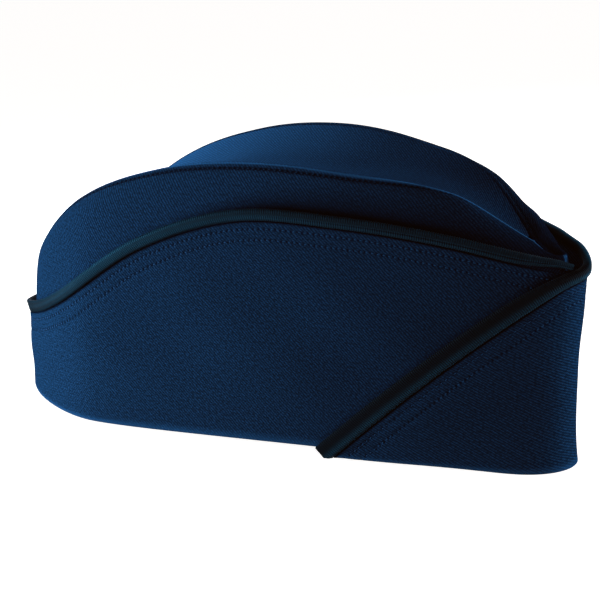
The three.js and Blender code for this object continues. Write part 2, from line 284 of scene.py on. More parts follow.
class LeftCurtain(RightCurtain):
    """The left half, which runs on round the nose as the flap."""

    def flap_arc(self, loop):
        return np.maximum(0, 1 - np.asarray(loop, float)) * foot_plan.length

    def edge(self, loop):
        loop = np.asarray(loop, float)
        side = super().edge(np.maximum(loop, 1)) + self.nose_swell(loop)
        flap = STATIONS[-1].curtain_edge * (1 - (self.flap_arc(loop) / FLAP_LENGTH) ** FLAP_CURVE)
        return np.where(loop >= 1, side, flap - self.nose_dip(loop))

    def nose_swell(self, loop):
        """The edge swells up beside the nose on the left side."""
        arc = (loop - 1) * foot_plan.length
        fall = smoothstep(arc, NOSE_SWELL["ease"], NOSE_SWELL["end"])
        return NOSE_SWELL["amount"] * smoothstep(arc, 0, NOSE_SWELL["full"]) * (1 - fall)

    def foot(self, loop):
        return FLAP_RISE["amount"] * smoothstep(self.flap_arc(loop), FLAP_RISE["from"], FLAP_RISE["to"])

    def outset(self, loop, height):
        lap = FLAP_OUTSET * smoothstep(1 + FLAP_RAMP - loop, 0, FLAP_RAMP)
        near = bell((1 - loop) * foot_plan.length - FOOT_FLARE["centre"], FOOT_FLARE["spread"])
        low = np.maximum(0, 1 - height / FOOT_FLARE["height"])
        return lap + FOOT_FLARE["amount"] * near * low * low + super().outset(loop, height)

    def cloth_gap(self, loop):
        """Near the tip of the flap the face runs on behind the braid."""
        to_tip = FLAP_LENGTH - self.flap_arc(loop)
        return lerp(-TIP_TUCK["depth"], CLOTH_GAP, smoothstep(to_tip, 0, TIP_TUCK["reach"]))


right_curtain = RightCurtain()
left_curtain = LeftCurtain()


def crest_height(x):
    """Height of the ridges along the cap, falling to the braid at the front."""
    drop = CREST_DROP["amount"] * bell(CREST_FRONT_X - x, CREST_DROP["spread"])
    along = (x - ridge_plan.back_x) / (CREST_FRONT_X - ridge_plan.back_x)
    return station("crest", along, level_front=True) - drop


def crown_curve(loop, side):
    """Foot, knee, shoulder and crest of the crown side at places on the loop."""
    low = plan_point(loop, 0, np.full(np.shape(loop), FOOT_TUCK - CROWN_INSET))
    foot_back, foot_front = foot_plan.back_x + CROWN_INSET, foot_plan.front_x - CROWN_INSET
    along = np.clip((low[..., 0] - foot_back) / (foot_front - foot_back), 0, 1)
    x = lerp(ridge_plan.back_x, CREST_FRONT_X, along)
    high = np.stack([x, side * ridge_plan.half_width_at(x), crest_height(x)], axis=-1)
    from_back = np.minimum(loop, 2 - loop)
    back = bell(from_back * foot_plan.length, BACK_KNEE["spread"])
    knee = plan_point(loop, station("knee", along) * high[..., 2], -KNEE_INSET - BACK_KNEE["in"] * back)
    bulge = (side > 0) * bell(from_back - LEFT_BULGE["centre"], LEFT_BULGE["spread"])
    shoulder = plan_point(loop, 0, station("swell", along) - CROWN_INSET + LEFT_BULGE["out"] * bulge)
    shoulder[..., 2] = station("shoulder", along) * high[..., 2] + LEFT_BULGE["lift"] * bulge
    low[..., 2] = CROWN_FOOT_RISE + (right_curtain.foot(loop) if side < 0 else 0)
    return low, knee, shoulder, high


def bezier(curve, share):
    a, b, c, d = (point[..., None, :] for point in curve)
    t = np.asarray(share)[..., None]
    return a * (1 - t) ** 3 + b * 3 * t * (1 - t) ** 2 + c * 3 * t * t * (1 - t) + d * t**3


def arc_along(points, axis):
    """Length travelled along an axis of an array of points, from its start."""
    steps = np.linalg.norm(np.diff(points, axis=axis), axis=-1)
    start = np.zeros_like(np.take(steps, [0], axis=axis))
    return np.concatenate([start, np.cumsum(steps, axis=axis)], axis=axis)


# The cap's box is centred on the origin: the form moves by where the top panel starts at the back
TOP_BACK_X = lerp(top_plan.back_x, top_plan.front_x, TOP_END_SHARE)
CENTRING = np.array([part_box("crown_top")[0].x - TOP_BACK_X, 0, 0])

# Grids of the laid cloth
CROWN_COLUMNS = 300
CROWN_ROWS = 26
RIDGE_BAND = 0.006
RIDGE_BAND_ROWS = 15
ROLL_ROWS = 9
ROLL_TURN = math.radians(195)
CURVE_STEPS = 200
CROWDING = 0.6
TOP_COLUMNS = 220
TOP_ROWS = 61
CURTAIN_COLUMN = 0.00085
INNER_ROWS = 7
FOLD_ROWS = 7
FACE_ROWS = 26
STITCH_BAND = 0.012
STITCH_BAND_ROWS = 24
TUCK_RADIUS = 0.0005
TUCK_ROWS = 4
STEPS_PER_RIB = 5

# Shares of its height that the fold, the tuck and the stitch band may take where the flap is low
LOW_FLAP = {"fold": 0.4, "tuck": 0.2, "band": 0.7}

# Small shapes of sewn cloth
SEAM_PULL = {"depth": 0.0007, "spread": 0.0011}
BACK_SEAM_REACH = 0.02
GROOVE = {"depth": 0.00016, "spread": 0.0006}
RIDGE_PINCH = 0.0003
RIDGE_SWELL_PLACE = 0.3
RIPPLE = {"depth": 0.0005, "length": 0.071, "height": 0.083}
SECOND_RIPPLE = {"share": 0.6, "length": 0.1207, "height": 0.0498}
FAR_FROM_STITCHES = 1.0
ROW_CLEARANCE = 0.0015
# Stretch of the loop on which the left ridge row shows no holes
HIDDEN_RIDGE_ROW = (1, 1.25)

# Painted highlights on the ridge lips and the front seam, painted light on the top panel, paler cloth along
# the lower fold.
# Places run from the centre back to the nose. A lip lies that far over the crest.
Lip = namedtuple("Lip", "place over width strength")
RIDGE_LIP = {
    "right": [
        Lip(0, 0.0003, 0.00035, 0.24),
        Lip(0.3, 0.0003, 0.00035, 0.24),
        Lip(0.6, 0.0003, 0.00035, 0.45),
        Lip(0.72, -0.0002, 0.0006, 0.5),
        Lip(0.85, -0.0006, 0.0009, 0.42),
        Lip(0.95, -0.0006, 0.0009, 0.5),
    ],
    "left": [
        Lip(0.3, 0.0016, 0.00035, 0),
        Lip(0.6, 0.0016, 0.00035, 0.1),
        Lip(0.72, 0.0016, 0.00035, 0.15),
        Lip(0.85, 0.0016, 0.00035, 0.4),
        Lip(0.95, 0.0016, 0.00035, 0),
    ],
}
FRONT_SEAM = {"wear": 0.45, "spread": 0.0012}
TOP_PAINTED_LIGHT = {"places": [0, 0.15, 0.3, 0.45, 0.65], "strength": [0, 0.11, 0.07, 0.05, 0]}
FOOT_PALER = {"strength": 0.2, "spread": 0.0012}
# How far the painted highlight clears the painted shade
HIGHLIGHT_OVER_SHADE = 1.5

# Painted shade: colour darkened in grooves, under the braid, where cloth goes in behind an edge, and on
# parts that are to look less lit
EDGE_SHADE = {"depth": 0.9, "back": 0.003, "front": 0.02, "grows": (0.4, 0.75)}
FLAP_SHADE = {"depth": 0.85, "reach": 0.0035}
FRONT_SHADE = {"depth": 0.12, "grows": (0.5, 0.75)}
TOP_SHADE = {"depth": 0.3, "grows": (0.6, 0.85)}
INNER_SHADE = 0.6
CROWN_SHADE = 0.13
UNDER_BRAID = 0.0006
RIDGE_GROOVE = {"right": 0.92, "left": 0.35, "spread": 0.0007}
ROLL_SHADE = {
    "right": {"depth": 1.0, "turn": (0.5, 1.0), "fades": (1.1, 1.2)},
    "left": {"depth": 0.55, "turn": (0.0, 0.2), "fades": (0.62, 0.78)},
}
ROLL_SHADE_STARTS = (0.25, 0.45)

# Braid: two ribbed cords side by side with a groove between them. Heights are shares of half its height.
BRAID_SQUARENESS = 0.6
BRAID_OUTER = [-1, -0.97, -0.9, *np.linspace(-0.8, 0.8, 13), 0.9, 0.97, 1]
BRAID_INNER = [0.97, 0.8, 0.4, 0, -0.4, -0.8, -0.97, -1]
BRAID_GROOVE = {"below": 0.0026, "depth": 0.00055, "spread": 0.0003}
BRAID_CORDS = {"right": (0.5, 0.8), "left": (1.02, 1.1)}
BRAID_SLANT = 0.35
BRAID_FLARE = {"out": 0.0026, "spread": 0.032, "power": 2.0}
BRAID_FLAT = {"proud": -0.3, "spread": 0.05}
BACK_TAPER = {"to": 0.07, "tall": 1.15, "thick": 0.7}
RIGHT_TAPER = {"from": 0.9, "share": 0.55}
FLAP_BRAID = {"taller": 0.003, "full": 0.03, "rise": (-0.3, 1)}
# Painted shade inside, at the back and on top of the braid, and a painted highlight along its upper edge
BRAID_INNER_SHADE = {"depth": 0.8, "turn": (0, 0.8)}
BRAID_BACK_SHADE = {"depth": 0.95, "fades": (0.05, 0.4)}
BRAID_TOP_SHADE = {
    "right": 0.5335,
    "left": 0.97,
    "rise": (-0.25, 0.35),
    "starts": (0.3, 0.6),
    "ends": (0.995, 1.02),
}
BRAID_TOP_HIGHLIGHT = {"rise": (0.3, 0.9), "under_shade": 1.2}


class CapSizes(PropertyGroup):
    """Sizes of the cloth, braid and stitches."""

    cloth_thickness: FloatProperty(
        name="Cloth", description="Thickness of one layer of cloth",
        default=0.0006, min=0.0002, unit="LENGTH")
    fold_radius: FloatProperty(
        name="Fold", description="Radius of the curtain's folded lower edge",
        default=0.0009, min=0.0003, unit="LENGTH")
    ridge_radius: FloatProperty(
        name="Ridge roll", description="Radius of the rolled edge along the ridge seams",
        default=0.0009, min=0.0003, unit="LENGTH")
    braid_thickness: FloatProperty(
        name="Braid thickness", description="Thickness of the edge braid",
        default=0.0032, min=0.001, unit="LENGTH")
    braid_proud: FloatProperty(
        name="Braid stands out", description="How far the braid stands out from the curtain",
        default=0.001, min=0.0, unit="LENGTH")
    rib_pitch: FloatProperty(
        name="Braid ribs", description="Distance between the ribs across the braid",
        default=0.0009, min=0.0004, unit="LENGTH")
    rib_depth: FloatProperty(
        name="Rib depth", description="How far the braid's ribs rise and fall",
        default=0.00016, min=0.0, unit="LENGTH")
    wale_pitch: FloatProperty(
        name="Twill wales", description="Distance between the diagonal lines of the twill",
        default=0.001, min=0.0003, unit="LENGTH")
    stitch_pitch: FloatProperty(
        name="Stitch pitch", description="Distance from one stitch to the next",
        default=0.0022, min=0.001, unit="LENGTH")
    stitch_length: FloatProperty(
        name="Stitch length", description="Length of thread that shows in one stitch",
        default=0.0012, min=0.0005, unit="LENGTH")
    thread_width: FloatProperty(
        name="Thread", description="Width of the sewing thread",
        default=0.00042, min=0.0001, unit="LENGTH")
    first_row: FloatProperty(
        name="First row", description="Distance of the upper stitch row from the braid",
        default=0.0036, min=0.001, unit="LENGTH")
    second_row: FloatProperty(
        name="Second row", description="Distance of the lower stitch row from the braid",
        default=0.0081, min=0.001, unit="LENGTH")
    ridge_row: FloatProperty(
        name="Ridge row", description="Distance of the crown's stitch row from the ridge",
        default=0.0018, min=0.001, unit="LENGTH")


class CapColours(PropertyGroup):
    """Colours of the cloth, braid, thread and floor."""

    cloth: FloatVectorProperty(
        name="Cloth", description="Colour of the navy twill",
        default=(0.0055, 0.0372, 0.1060), min=0, max=1, subtype="COLOR")
    braid: FloatVectorProperty(
        name="Braid", description="Colour of the edge braid",
        default=(0.0058, 0.0490, 0.0960), min=0, max=1, subtype="COLOR")
    thread: FloatVectorProperty(
        name="Thread", description="Colour of the sewing thread",
        default=(0.013, 0.062, 0.175), min=0, max=1, subtype="COLOR")
    floor: FloatVectorProperty(
        name="Floor", description="Colour of the floor",
        default=(0.6, 0.6, 0.6), min=0, max=1, subtype="COLOR")


class StageSettings(PropertyGroup):
    """Camera and light."""

    focal_length: FloatProperty(
        name="Focal length", description="Lens of the camera, in millimetres",
        default=122.5, min=20, unit="CAMERA")
    back_power: FloatProperty(
        name="Back lamp", description="Power of the soft lamp behind the cap",
        default=2.7, min=0, unit="POWER")
    side_power: FloatProperty(
        name="Side lamp", description="Power of the soft lamp beside the cap's right back",
        default=2.04, min=0, unit="POWER")
    top_power: FloatProperty(
        name="Top lamp", description="Power of the soft lamp above the cap's left back",
        default=2.6, min=0, unit="POWER")
    nose_power: FloatProperty(
        name="Nose lamp", description="Power of the low lamp in front of the cap's nose",
        default=0.62, min=0, unit="POWER")
    crest_power: FloatProperty(
        name="Crest lamp", description="Power of the soft lamp above and in front of the cap",
        default=0.14, min=0, unit="POWER")
    far_strength: FloatProperty(
        name="Far light", description="Strength of the soft light on the side away from the camera",
        default=0.8, min=0)
    room_strength: FloatProperty(
        name="Room light", description="Strength of the even light from all round",
        default=0.08, min=0)


def laid_grid(name, places, maps, marks, tube=False):
    """A piece that starts as a flat grid and is laid in place, point by point.

    places, maps and marks are laid out as columns by rows: points, UV maps and point attributes.
    A tube has its last row on its first, and its two ends are filled.
    """
    columns, rows = places.shape[:2]
    bm = bmesh.new()
    bmesh.ops.create_grid(bm, x_segments=columns - 1, y_segments=rows - 1, size=0.5)
    cells = []
    for vert in bm.verts:
        column, row = (vert.co.x + 0.5) * (columns - 1), (vert.co.y + 0.5) * (rows - 1)
        cells.append(round(column) * rows + round(row))
    points = (places + CENTRING).reshape(-1, 3).tolist()
    for vert, cell in zip(bm.verts, cells):
        vert.co = points[cell]
    for key, values in marks.items():
        layer = bm.verts.layers.float.new(key)
        flat = values.reshape(-1).tolist()
        for vert, cell in zip(bm.verts, cells):
            vert[layer] = flat[cell]
    bm.verts.index_update()
    for key, values in maps.items():
        layer = bm.loops.layers.uv.new(key)
        flat = values.reshape(-1, 2).tolist()
        for face in bm.faces:
            for corner in face.loops:
                corner[layer].uv = flat[cells[corner.vert.index]]
    if tube:
        bmesh.ops.remove_doubles(bm, verts=bm.verts, dist=1e-7)
        bmesh.ops.holes_fill(bm, edges=[edge for edge in bm.edges if edge.is_boundary], sides=0)
    return mesh_piece(name, bm)


def mesh_piece(name, bm):
    for face in bm.faces:
        face.smooth = True
    mesh = bpy.data.meshes.new(name)
    bm.to_mesh(mesh)
    bm.free()
    piece = bpy.data.objects.new(name, mesh)
    bpy.context.scene.collection.objects.link(piece)
    return piece


def thicken(piece, thickness):
    wall = piece.modifiers.new("Cloth thickness", "SOLIDIFY")
    wall.thickness = thickness
    wall.offset = -1
    wall.use_quality_normals = True


def dress(piece, material, node=None):
    """Gives a piece its material and its place in the part."""
    piece.data.materials.append(material)
    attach(piece, "root")
    if node:
        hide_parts(node)
    return piece


def side_name(side):
    return "right" if side < 0 else "left"


def clear_of_seam(points, side):
    """Holds points on their own side of the middle plane."""
    held = points.copy()
    held[..., 1] = side * np.maximum(side * held[..., 1], 0)
    return held


def pulled(arc):
    """How deep the cloth is pulled in at this distance from a seam."""
    return SEAM_PULL["depth"] * bell(arc, SEAM_PULL["spread"])


def ripple(arc, height, share):
    """Slow unevenness of the cloth, which dies out at share 0 and 1."""
    wave = np.sin(2 * np.pi * (arc / RIPPLE["length"] + height / RIPPLE["height"]))
    second = np.sin(2 * np.pi * (arc / SECOND_RIPPLE["length"] - height / SECOND_RIPPLE["height"]))
    wave += SECOND_RIPPLE["share"] * second
    return RIPPLE["depth"] * wave * np.sin(np.pi * np.clip(share, 0, 1)) ** 2


def grid_normals(points):
    return unit(np.cross(np.gradient(points, axis=0), np.gradient(points, axis=1)))


def deepest(shade, *others):
    """The deepest of several shades at each point."""
    for other in others:
        shade = np.maximum(shade, other)
    return shade


def crowded(count):
    """Shares from 0 to 1 that crowd together towards both ends."""
    share = np.linspace(0, 1, count)
    return share - CROWDING * np.sin(2 * np.pi * share) / (2 * np.pi)


def crown_shares(side):
    return crowded(CROWN_COLUMNS) + (side > 0)


def crown_rows(curve, distances):
    """Points of the crown side at distances from its crest, column by column."""
    fine = np.linspace(0, 1, CURVE_STEPS)
    arcs = arc_along(bezier(curve, fine), 1)
    shares = [np.interp(arc[-1] - far, arc, fine) for arc, far in zip(arcs, distances)]
    return bezier(curve, np.array(shares))


def crown_lengths(curve):
    return arc_along(bezier(curve, np.linspace(0, 1, CURVE_STEPS)), 1)[:, -1]


def crown_face(curve, distances, lengths, sizes):
    """The crown side at distances from its crest, pulled in at its seams and pinched along the ridge row.

    The second result is the distance of each point from the first column.
    """
    face = crown_rows(curve, distances)
    arc = arc_along(face, 0)
    depth = pulled(arc) + pulled(arc[-1:] - arc)
    depth += ripple(arc, distances, distances / lengths[:, None])
    depth += RIDGE_PINCH * bell(distances - sizes.ridge_row, GROOVE["spread"])
    depth -= RIDGE_PINCH * bell(distances - RIDGE_SWELL_PLACE * sizes.ridge_row, GROOVE["spread"])
    return face - grid_normals(face) * depth[..., None], arc


def ridge_roll(crest, curve, sizes):
    """The edge rolled over along the ridge, and the length of cloth from the crest to each of its points."""
    shoulder, high = curve[2:]
    up = unit(high - shoulder)
    out = unit(np.cross(np.gradient(crest, axis=0), up))
    radius = sizes.ridge_radius * smoothstep(np.abs(high[:, 1]), 0, 2 * sizes.ridge_radius)
    turn = np.linspace(0, ROLL_TURN, ROLL_ROWS + 1)[1:]
    over = out[:, None] * (np.cos(turn) - 1)[:, None] + up[:, None] * np.sin(turn)[:, None]
    return crest[:, None] + radius[:, None, None] * over, radius[:, None] * turn


def crown_marks(side, loop, above, far, from_front, sizes):
    """Painted highlights and painted shade on a crown side.

    above is the height over the curtain's edge, far the distance from the crest, and from_front that from
    the front seam.
    """
    name = side_name(side)
    from_back = np.minimum(loop, 2 - loop)
    # Painted highlights along the ridge lip and at the front seam
    stops, *columns = zip(*RIDGE_LIP[name])
    over, width, strength = (np.interp(from_back, stops, column)[:, None] for column in columns)
    front_seam = FRONT_SEAM["wear"] * bell(from_front, FRONT_SEAM["spread"])
    wear = np.maximum(strength * bell(far + over, width), front_seam)
    # Painted shade in the ridge groove, on the roll and above the curtain's edge, and a little all over
    groove = RIDGE_GROOVE[name] * bell(far - sizes.ridge_row, RIDGE_GROOVE["spread"])
    roll = ROLL_SHADE[name]
    rolled_over = smoothstep(-far / (ROLL_TURN * sizes.ridge_radius), *roll["turn"])
    along_ridge = smoothstep(from_back, *ROLL_SHADE_STARTS) * (1 - smoothstep(from_back, *roll["fades"]))
    rolled_shade = roll["depth"] * along_ridge[:, None] * rolled_over
    reach = lerp(EDGE_SHADE["back"], EDGE_SHADE["front"], smoothstep(from_back, *EDGE_SHADE["grows"]))
    behind_edge = EDGE_SHADE["depth"] * (1 - smoothstep(above, -EDGE_SHADE["back"], reach[:, None]))
    shade = deepest(rolled_shade, groove, behind_edge, CROWN_SHADE)
    return {"wear": wear, "crease": (1 - np.minimum(1, HIGHLIGHT_OVER_SHADE * wear)) * shade}


def make_crown_side(side, sizes, material):
    loop = crown_shares(side)
    curve = crown_curve(loop, side)
    lengths = crown_lengths(curve)
    band = np.linspace(RIDGE_BAND, 0, RIDGE_BAND_ROWS)
    lower = lerp(lengths[:, None], RIDGE_BAND, np.linspace(0, 1, CROWN_ROWS)[:-1])
    distances = np.concatenate([lower, np.broadcast_to(band, (len(loop), len(band)))], axis=1)
    face, arc = crown_face(curve, distances, lengths, sizes)
    roll, rolled = ridge_roll(face[:, -1], curve, sizes)
    places = clear_of_seam(np.concatenate([face, roll], axis=1), side)
    far = np.concatenate([distances, -rolled], axis=1)
    plan = np.broadcast_to(loop[:, None] * foot_plan.length, far.shape)
    row_starts, row_ends = HIDDEN_RIDGE_ROW
    hidden_row = FAR_FROM_STITCHES * ((loop > row_starts) & (loop < row_ends))[:, None]
    stitches = arc_along(places, 0) / sizes.stitch_pitch
    maps = {
        "cloth": np.stack([plan, lengths[:, None] - far], axis=-1),
        "seam": np.stack([stitches, far - sizes.ridge_row + hidden_row], axis=-1),
    }
    curtain = right_curtain if side < 0 else left_curtain
    above = places[..., 2] - curtain.edge(loop)[:, None]
    from_front = arc[-1:] - arc if side < 0 else arc
    from_front = np.concatenate([from_front, np.full_like(rolled, np.inf)], axis=1)
    marks = crown_marks(side, loop, above, far, from_front, sizes)
    piece = laid_grid(f"crown_side_{side_name(side)}_cloth", places, maps, marks)
    thicken(piece, sizes.cloth_thickness)
    return dress(piece, material, f"crown_side_{side_name(side)}")


def make_crown_top(sizes, material):
    from_back = crowded(TOP_COLUMNS)[:, None]
    ends = lerp(TOP_END_SHARE, 1 - TOP_END_SHARE, from_back)
    x = lerp(top_plan.back_x - 2 * TOP_TUCK, top_plan.front_x + 2 * TOP_TUCK, ends)
    tuck = TOP_TUCK * (1 + smoothstep(ends, *TOP_TUCK_GROWS) - smoothstep(ends, *TOP_TUCK_ENDS))
    reach = np.sin(np.pi * (np.linspace(0, 1, TOP_ROWS) - 0.5))[None, :]
    half = top_plan.half_width_at(lerp(top_plan.back_x, top_plan.front_x, ends)) + tuck
    from_edge = half * (1 - np.abs(reach))
    uneven = ripple(x + 0 * reach, half * reach, 0.5 + 0.5 * reach) * smoothstep(half, 0, TOP_CALM)
    height = crest_height(x) - VALLEY_SHARE * half * (1 - reach**2) - TOP_PULL * pulled(from_edge) - uneven
    places = np.stack(np.broadcast_arrays(x, half * reach, height), axis=-1)
    stitches = arc_along(places, 0) / sizes.stitch_pitch
    maps = {
        "cloth": places[..., :2],
        "seam": np.stack([stitches, np.full_like(stitches, FAR_FROM_STITCHES)], axis=-1),
    }
    # Painted light on the back of the top panel, and painted shade towards its front
    marks = {
        "wear": np.interp(from_back, TOP_PAINTED_LIGHT["places"], TOP_PAINTED_LIGHT["strength"]) + 0 * from_edge,
        "crease": TOP_SHADE["depth"] * smoothstep(from_back, *TOP_SHADE["grows"]) + 0 * from_edge,
    }
    piece = laid_grid("crown_top_cloth", places, maps, marks)
    thicken(piece, sizes.cloth_thickness)
    return dress(piece, material, "crown_top")


def flap_start():
    """Place on the loop where the flap is just tall enough for its cloth to show."""
    loop = np.linspace(1 - FLAP_LENGTH / foot_plan.length, 1, ARC_STEPS)
    room = left_curtain.cloth_top(loop) - left_curtain.foot(loop)
    return float(loop[np.argmax(room > FLAP_CLOTH_LEAST)])


def flap_shade(loop, height):
    """Painted shade on the right curtain along the edge of the flap that lies on it."""
    away = (height - left_curtain.edge(loop)) / left_curtain.slope_length(loop)
    on_flap = left_curtain.flap_arc(loop) < FLAP_LENGTH
    return FLAP_SHADE["depth"] * on_flap * bell(np.maximum(away, 0), FLAP_SHADE["reach"])


def curtain_shade(side, loop, height, from_braid, outer):
    """Painted shade under the braid and inside, and on the right half also behind the flap and to the front.
    """
    shade = deepest(outer * bell(from_braid - CLOTH_GAP, UNDER_BRAID), INNER_SHADE * (1 - outer))
    if side < 0:
        to_front = FRONT_SHADE["depth"] * smoothstep(loop, *FRONT_SHADE["grows"])
        shade = deepest(shade, outer * flap_shade(loop, height), to_front)
    return shade


def curtain_section(curtain, loop, sizes):
    """Rows of the curtain: down its inner layer, round the lower fold, up its face and in under the braid.

    The results are heights, distances out of the face, whether a row is on the outside, and shares of the
    face's height.
    """
    foot, top = curtain.foot(loop), curtain.cloth_top(loop)
    fold = np.minimum(sizes.fold_radius, LOW_FLAP["fold"] * (top - foot))
    tuck = np.minimum(TUCK_RADIUS, LOW_FLAP["tuck"] * (top - foot))
    low, high = foot + fold, top - tuck
    inner = lerp(top + 0.5 * BRAID_TALL, low, np.linspace(0, 1, INNER_ROWS)[None, :-1])
    fold_turn = np.pi * np.linspace(1, 2, FOLD_ROWS)[None, :]
    tuck_turn = 0.5 * np.pi * np.linspace(0, 1, TUCK_ROWS + 1)[None, 1:]
    slope = curtain.slope_length(loop)
    room = np.minimum(1, LOW_FLAP["band"] * (high - low) / (STITCH_BAND * slope))
    band = high - room * slope * np.linspace(STITCH_BAND, 0, STITCH_BAND_ROWS)[None, :]
    face = lerp(low, band[:, :1], np.linspace(0, 1, FACE_ROWS)[None, 1:-1])
    heights = [inner, low + fold * np.sin(fold_turn), face, band, high + tuck * np.sin(tuck_turn)]
    outs = [0 * inner - 2 * fold, fold * (np.cos(fold_turn) - 1), 0 * face, 0 * band]
    outs.append(tuck * (np.cos(tuck_turn) - 1))
    height, out = np.concatenate(heights, axis=1), np.concatenate(outs, axis=1)
    return height, out, out > -fold, (height - low) / np.maximum(high - low, 1e-6)


def make_curtain(curtain, side, start, end, sizes, material):
    columns = round((end - start) * foot_plan.length / CURTAIN_COLUMN)
    loop = np.linspace(start, end, columns)[:, None]
    height, out, outer, share = curtain_section(curtain, loop, sizes)
    from_braid = (curtain.edge(loop) - height) / curtain.slope_length(loop) - BRAID_TALL
    arc = arc_along(curtain.face(loop, height), 0)
    back_arc = arc if side < 0 else arc[-1:] - arc
    from_rows = np.stack([from_braid - sizes.first_row, from_braid - sizes.second_row])
    depth = pulled(back_arc) + outer * ripple(arc, height, share)
    depth += outer * GROOVE["depth"] * bell(from_rows, GROOVE["spread"]).sum(0)
    places = curtain.face(loop + 0 * height, height, out - depth)
    places = np.where((back_arc < BACK_SEAM_REACH)[..., None], clear_of_seam(places, side), places)
    nearest = np.take_along_axis(from_rows, np.abs(from_rows).argmin(0)[None], 0)[0]
    plan = loop * foot_plan.length + 0 * height
    maps = {
        "cloth": np.stack([plan, np.where(outer, height, -height)], axis=-1),
        "seam": np.stack([arc / sizes.stitch_pitch, np.where(outer, nearest, FAR_FROM_STITCHES)], axis=-1),
    }
    # The cloth is paler along the lower fold, and the second mark is painted shade
    marks = {
        "wear": FOOT_PALER["strength"] * bell(height - curtain.foot(loop), FOOT_PALER["spread"]),
        "crease": curtain_shade(side, loop, height, from_braid, outer),
    }
    piece = laid_grid(f"curtain_{side_name(side)}_cloth", places, maps, marks)
    thicken(piece, sizes.cloth_thickness)
    return dress(piece, material, f"curtain_{side_name(side)}")


def even_loops(curtain, start, end, step):
    """Places on the loop at even distances along the curtain's edge, and those distances."""
    fine = np.linspace(start, end, ARC_STEPS)
    arc = arc_along(curtain.face(fine, curtain.edge(fine)), 0)
    even = np.linspace(0, arc[-1], round(arc[-1] / step) + 1)
    return np.interp(even, arc, fine), even


def braid_section():
    """Points round the braid: heights from -1 to 1, and places from 1 on the outside to -1 on the inside."""
    rise = np.array([*BRAID_OUTER, *BRAID_INNER])
    level = (1 - np.abs(rise) ** (2 / BRAID_SQUARENESS)) ** (BRAID_SQUARENESS / 2)
    return rise, np.where(np.arange(len(rise)) < len(BRAID_OUTER), level, -level)


def braid_marks(side, loop, rise, level, groove):
    """Painted highlight along the braid's upper edge, and painted shade in its groove, inside, on top and at
    the back.
    """
    top = BRAID_TOP_SHADE
    from_light = smoothstep(loop, *top["starts"]) * (1 - smoothstep(loop, *top["ends"]))
    top_shade = top[side_name(side)] * from_light[:, None] * smoothstep(rise, *top["rise"])
    from_back = np.minimum(loop, 2 - loop)[:, None]
    back_shade = BRAID_BACK_SHADE["depth"] * (1 - smoothstep(from_back, *BRAID_BACK_SHADE["fades"]))
    inner_shade = BRAID_INNER_SHADE["depth"] * smoothstep(-level, *BRAID_INNER_SHADE["turn"])
    lit = 1 - np.minimum(1, BRAID_TOP_HIGHLIGHT["under_shade"] * top_shade)
    return {
        "crease": deepest(groove, inner_shade, top_shade, back_shade),
        "wear": lit * smoothstep(rise, *BRAID_TOP_HIGHLIGHT["rise"]),
    }


def make_braid(curtain, side, start, end, sizes, material):
    loop, arc = even_loops(curtain, start, end, sizes.rib_pitch / STEPS_PER_RIB)
    edge = curtain.face(loop, curtain.edge(loop))
    out = outward(loop)
    up = unit(np.cross(out, unit(np.gradient(edge, axis=0))))
    rise, level = braid_section()
    climb = BRAID_TALL / 2 * (rise - 1)
    back_arc = arc if side < 0 else arc[-1] - arc
    from_back = smoothstep(back_arc, 0, BACK_TAPER["to"])
    tall, thick = lerp(BACK_TAPER["tall"], 1, from_back), lerp(BACK_TAPER["thick"], 1, from_back)
    if side < 0:
        narrow = lerp(1, RIGHT_TAPER["share"], smoothstep(loop, RIGHT_TAPER["from"], end))
        tall, thick = tall * narrow, thick * narrow
    two_cords = smoothstep(loop, *BRAID_CORDS[side_name(side)])[:, None]
    groove = bell(climb + BRAID_GROOVE["below"], BRAID_GROOVE["spread"]) * (level > 0) * two_cords
    proud = lerp(1, BRAID_FLAT["proud"], bell(back_arc, BRAID_FLAT["spread"]))[:, None]
    away = sizes.braid_proud * proud + sizes.braid_thickness / 2 * (level - 1)
    away = thick[:, None] * (away - BRAID_GROOVE["depth"] * groove)
    flare = BRAID_FLARE["out"] * bell(back_arc, BRAID_FLARE["spread"])[:, None]
    away = away + flare * (0.5 * (1 + rise)) ** BRAID_FLARE["power"]
    on_flap = smoothstep(left_curtain.flap_arc(loop), 0, FLAP_BRAID["full"]) * (side > 0)
    taller = FLAP_BRAID["taller"] * on_flap[:, None] * smoothstep(rise, *FLAP_BRAID["rise"])
    rib = sizes.rib_depth * np.cos(2 * np.pi * (arc[:, None] + BRAID_SLANT * climb) / sizes.rib_pitch)
    places = edge[:, None] + out[:, None] * (away + rib * level)[..., None]
    places = places + up[:, None] * (tall[:, None] * climb + taller + rib * rise)[..., None]
    places[..., 2] = np.maximum(places[..., 2], curtain.foot(loop)[:, None])
    places = np.where((back_arc < BACK_SEAM_REACH)[:, None, None], clear_of_seam(places, side), places)
    maps = {"braid": np.stack(np.broadcast_arrays(arc[:, None], climb), axis=-1)}
    marks = braid_marks(side, loop, rise, level, groove)
    piece = laid_grid(f"braid_{side_name(side)}_weave", places, maps, marks, tube=True)
    return dress(piece, material, f"braid_{side_name(side)}")


def read_along(values, arc, spots):
    return np.stack([np.interp(spots, arc, values[:, axis]) for axis in range(3)], axis=1)


